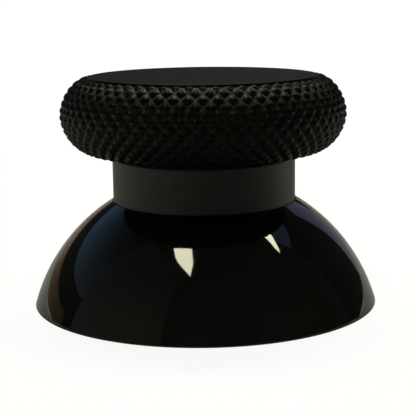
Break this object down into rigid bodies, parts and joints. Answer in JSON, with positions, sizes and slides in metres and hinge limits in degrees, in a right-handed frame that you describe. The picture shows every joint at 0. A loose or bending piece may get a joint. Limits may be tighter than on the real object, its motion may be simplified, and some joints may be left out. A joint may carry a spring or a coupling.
{
  "type": "thumbstick cap",
  "caption": "Thumbstick cap: gloss black domed skirt with a keyed hub under it, plain neck and a soft round head with a diamond-knurled rolled rim.",
  "frame": {"origin": "on the cap's axis, in the plane of the skirt's foot ring", "axes": "+Z along the axis, from the foot ring to the thumb disc; X across the flats of the socket"},
  "size_m": [0.0188, 0.0188, 0.0124],
  "materials": {
    "gloss_plastic": "polished black",
    "soft_rubber": "soft-touch matte black with a fine grain"
  },
  "bodies": {
    "root": {"dome_base": "gloss_plastic", "grip_cap": "soft_rubber"}
  },
  "joints": []
}
